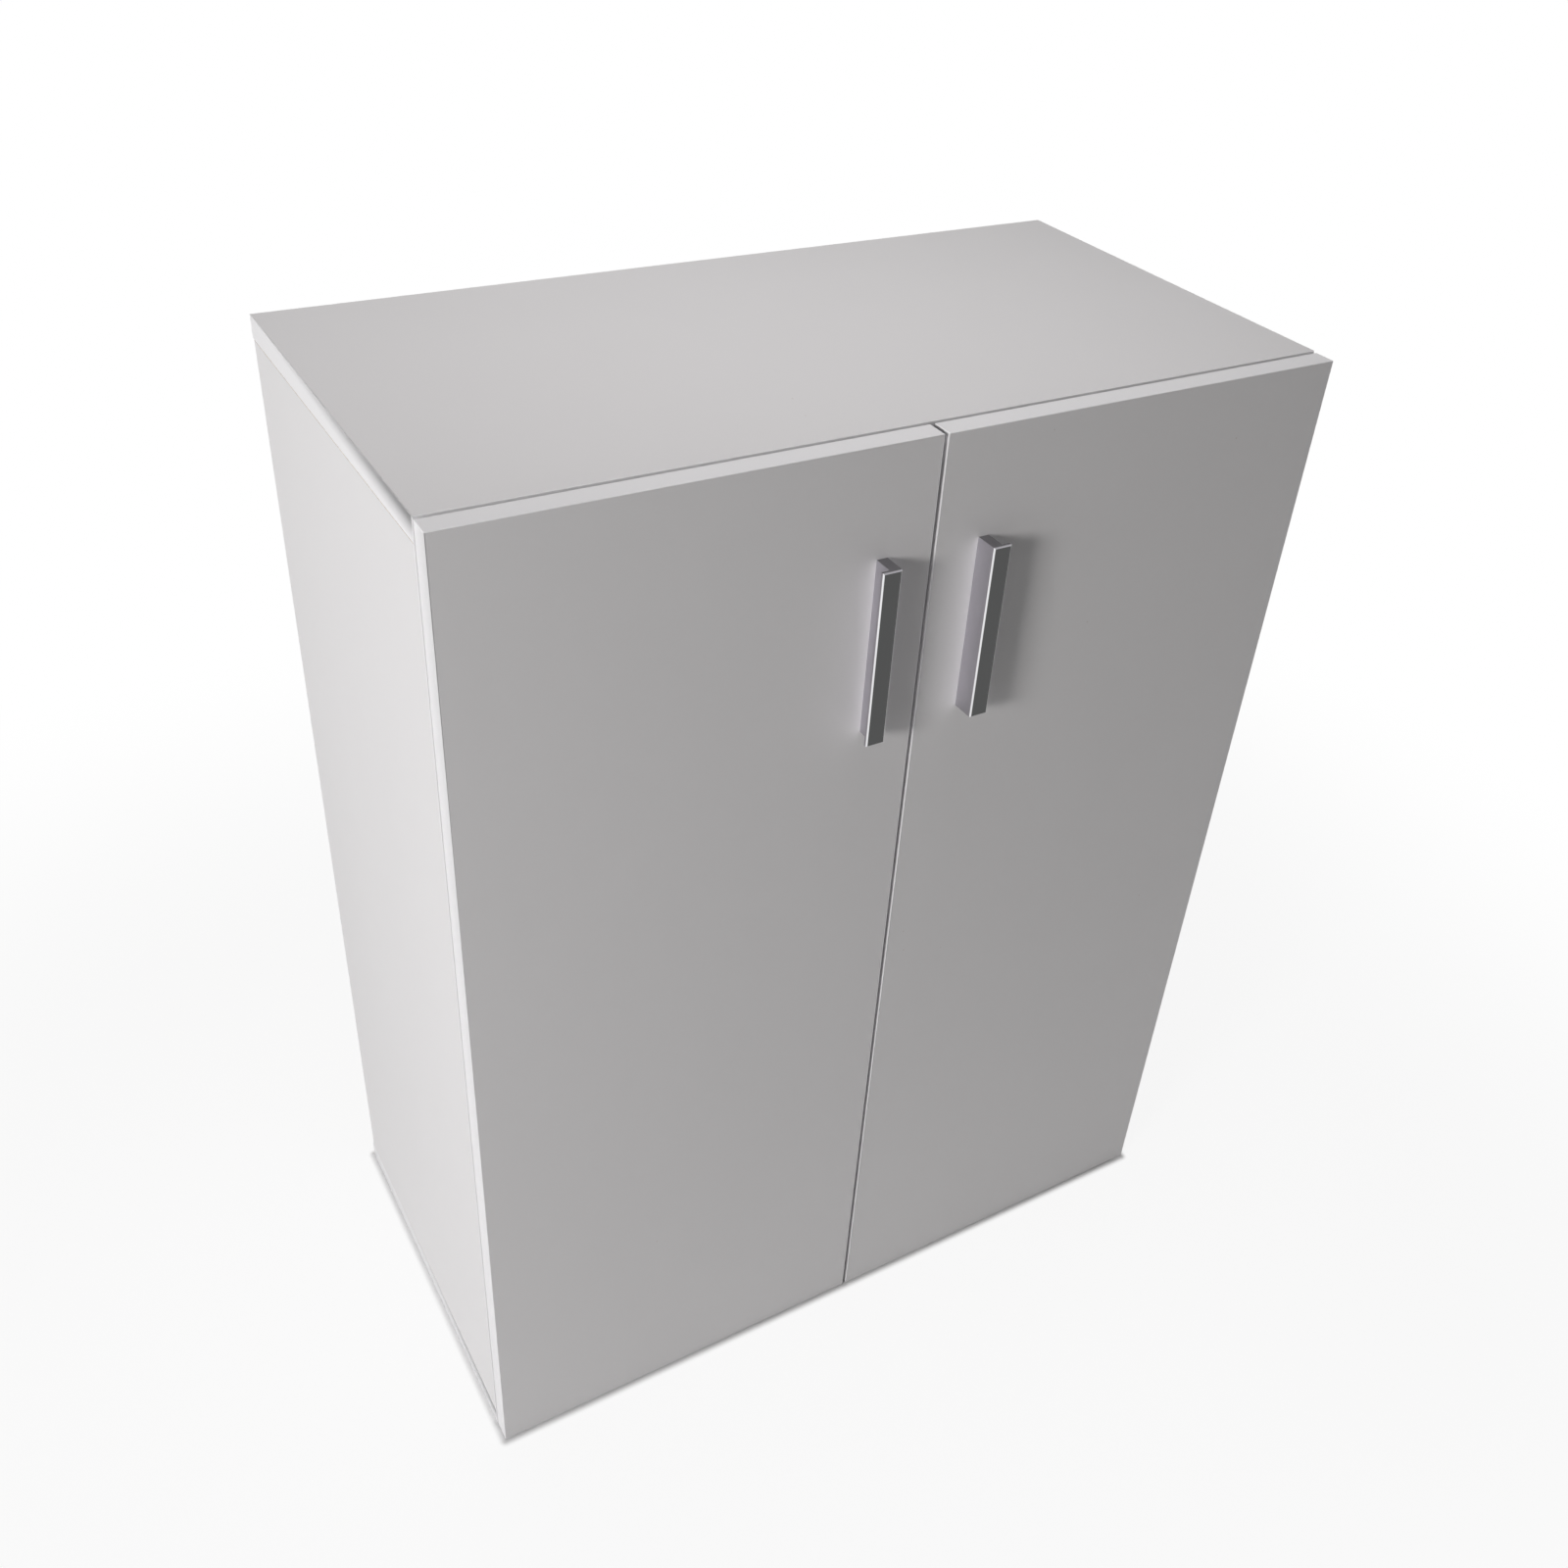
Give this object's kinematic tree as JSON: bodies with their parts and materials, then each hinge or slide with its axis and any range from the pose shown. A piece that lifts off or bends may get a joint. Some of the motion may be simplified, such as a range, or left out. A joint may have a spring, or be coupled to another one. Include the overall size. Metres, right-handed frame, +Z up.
{
  "type": "two-door cabinet",
  "caption": "White melamine wall or base cabinet with flush overlay doors on concealed hinges, an adjustable shelf and slim metal bar handles.",
  "frame": {"origin": "middle of the base, on the surface that the cabinet stands on, halfway between its front (the handles) and its back", "axes": "+Z up, +X to the right when facing the doors, the doors face -Y"},
  "size_m": [0.6, 0.3282, 0.76],
  "materials": {
    "melamine_board": "satin white melamine on chipboard",
    "edge_band": "satin white band",
    "hardboard": "white lacquered inside, brown outside",
    "beech": "fluted, raw",
    "zinc_casting": "bare zinc casting",
    "satin_aluminium": "satin silver-grey",
    "nickel_steel": "nickel plated",
    "clear_bumper": "soft clear"
  },
  "bodies": {
    "cabinet": {"back_panel": "hardboard", "back_panel_nails": "nickel_steel", "bottom_edge_bands": "edge_band", "bottom_panel": "melamine_board", "cam_bolts": "nickel_steel", "cam_locks": "zinc_casting", "hanging_rail": "melamine_board", "left_hinge_arm_pins": "nickel_steel", "left_hinge_arm_screws": "nickel_steel", "left_hinge_plate_screws": "nickel_steel", "left_lower_hinge_arm": "nickel_steel", "left_lower_hinge_plate": "nickel_steel", "left_side_edge_band": "edge_band", "left_side_panel": "melamine_board", "left_upper_hinge_arm": "nickel_steel", "left_upper_hinge_plate": "nickel_steel", "right_hinge_arm_pins": "nickel_steel", "right_hinge_arm_screws": "nickel_steel", "right_hinge_plate_screws": "nickel_steel", "right_lower_hinge_arm": "nickel_steel", "right_lower_hinge_plate": "nickel_steel", "right_side_edge_band": "edge_band", "right_side_panel": "melamine_board", "right_upper_hinge_arm": "nickel_steel", "right_upper_hinge_plate": "nickel_steel", "shelf": "melamine_board", "shelf_edge_band": "edge_band", "shelf_pins": "nickel_steel", "top_edge_bands": "edge_band", "top_panel": "melamine_board", "wooden_dowels": "beech"},
    "left_hinge_links": {"left_lower_hinge_link": "nickel_steel", "left_upper_hinge_link": "nickel_steel"},
    "left_door": {"left_door_bumpers": "clear_bumper", "left_door_edge_bands": "edge_band", "left_door_panel": "melamine_board", "left_handle": "satin_aluminium", "left_handle_screws": "nickel_steel", "left_hinge_cup_pins": "nickel_steel", "left_hinge_cup_screws": "nickel_steel", "left_lower_hinge_cup": "nickel_steel", "left_upper_hinge_cup": "nickel_steel"},
    "right_hinge_links": {"right_lower_hinge_link": "nickel_steel", "right_upper_hinge_link": "nickel_steel"},
    "right_door": {"right_door_bumpers": "clear_bumper", "right_door_edge_bands": "edge_band", "right_door_panel": "melamine_board", "right_handle": "satin_aluminium", "right_handle_screws": "nickel_steel", "right_hinge_cup_pins": "nickel_steel", "right_hinge_cup_screws": "nickel_steel", "right_lower_hinge_cup": "nickel_steel", "right_upper_hinge_cup": "nickel_steel"}
  },
  "joints": [
    {"name": "left_hinge_link_turn", "type": "hinge", "parent": "cabinet", "child": "left_hinge_links", "pos_m": [-0.27, -0.13685, 0.38], "axis": [0, 0, 1], "range_deg": [0, 42.8]},
    {"name": "left_door_swing", "type": "hinge", "parent": "left_hinge_links", "child": "left_door", "pos_m": [-0.288, -0.13785, 0.38], "axis": [0, 0, -1], "range_deg": [0, 137.75]},
    {"name": "right_hinge_link_turn", "type": "hinge", "parent": "cabinet", "child": "right_hinge_links", "pos_m": [0.27, -0.13685, 0.38], "axis": [0, 0, -1], "range_deg": [0, 42.8]},
    {"name": "right_door_swing", "type": "hinge", "parent": "right_hinge_links", "child": "right_door", "pos_m": [0.288, -0.13785, 0.38], "axis": [0, 0, 1], "range_deg": [0, 137.75]}
  ],
  "couplings": [
    {"joint": "left_hinge_link_turn", "follows": "left_door_swing", "ratio": 0.31034},
    {"joint": "right_hinge_link_turn", "follows": "right_door_swing", "ratio": 0.31034}
  ]
}
